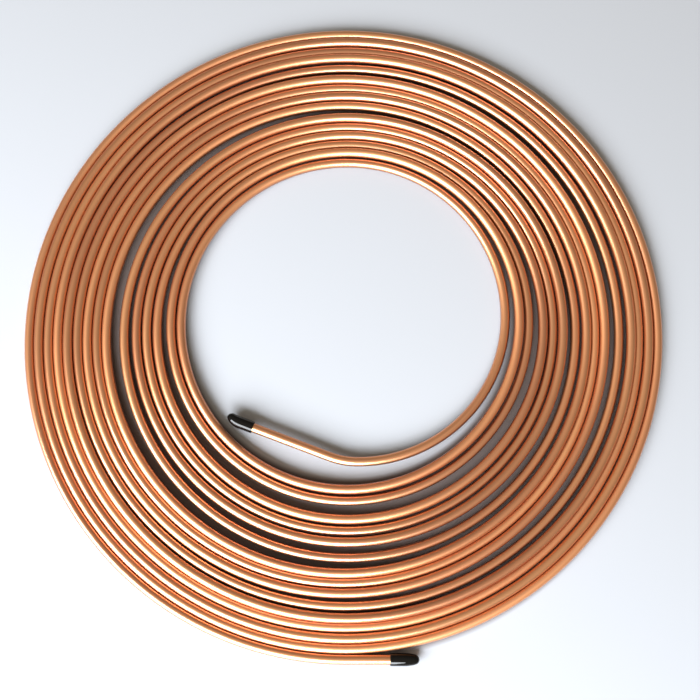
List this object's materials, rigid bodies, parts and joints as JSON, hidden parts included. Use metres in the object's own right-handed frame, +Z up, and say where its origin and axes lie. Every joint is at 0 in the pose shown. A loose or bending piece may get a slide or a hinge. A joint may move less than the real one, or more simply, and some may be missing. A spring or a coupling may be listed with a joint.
{
  "type": "copper tube coil",
  "caption": "Flat spiral coil of soft-drawn copper tube lying in one layer, with an open eye, a sprung-up inner end, a straight outer end and a push-on plastic cap on each end.",
  "frame": {"origin": "on the floor below the middle of the coil's outline", "axes": "+Z up out of the coil's flat side, +X the way the outer end points, +Y away from the side that the outer end lies on"},
  "size_m": [0.4272, 0.4314, 0.0103],
  "materials": {
    "copper": null,
    "cap_plastic": "glossy black moulded plastic"
  },
  "bodies": {
    "root": {"copper_tube": "copper", "inner_end_cap": "cap_plastic", "outer_end_cap": "cap_plastic"}
  },
  "joints": []
}
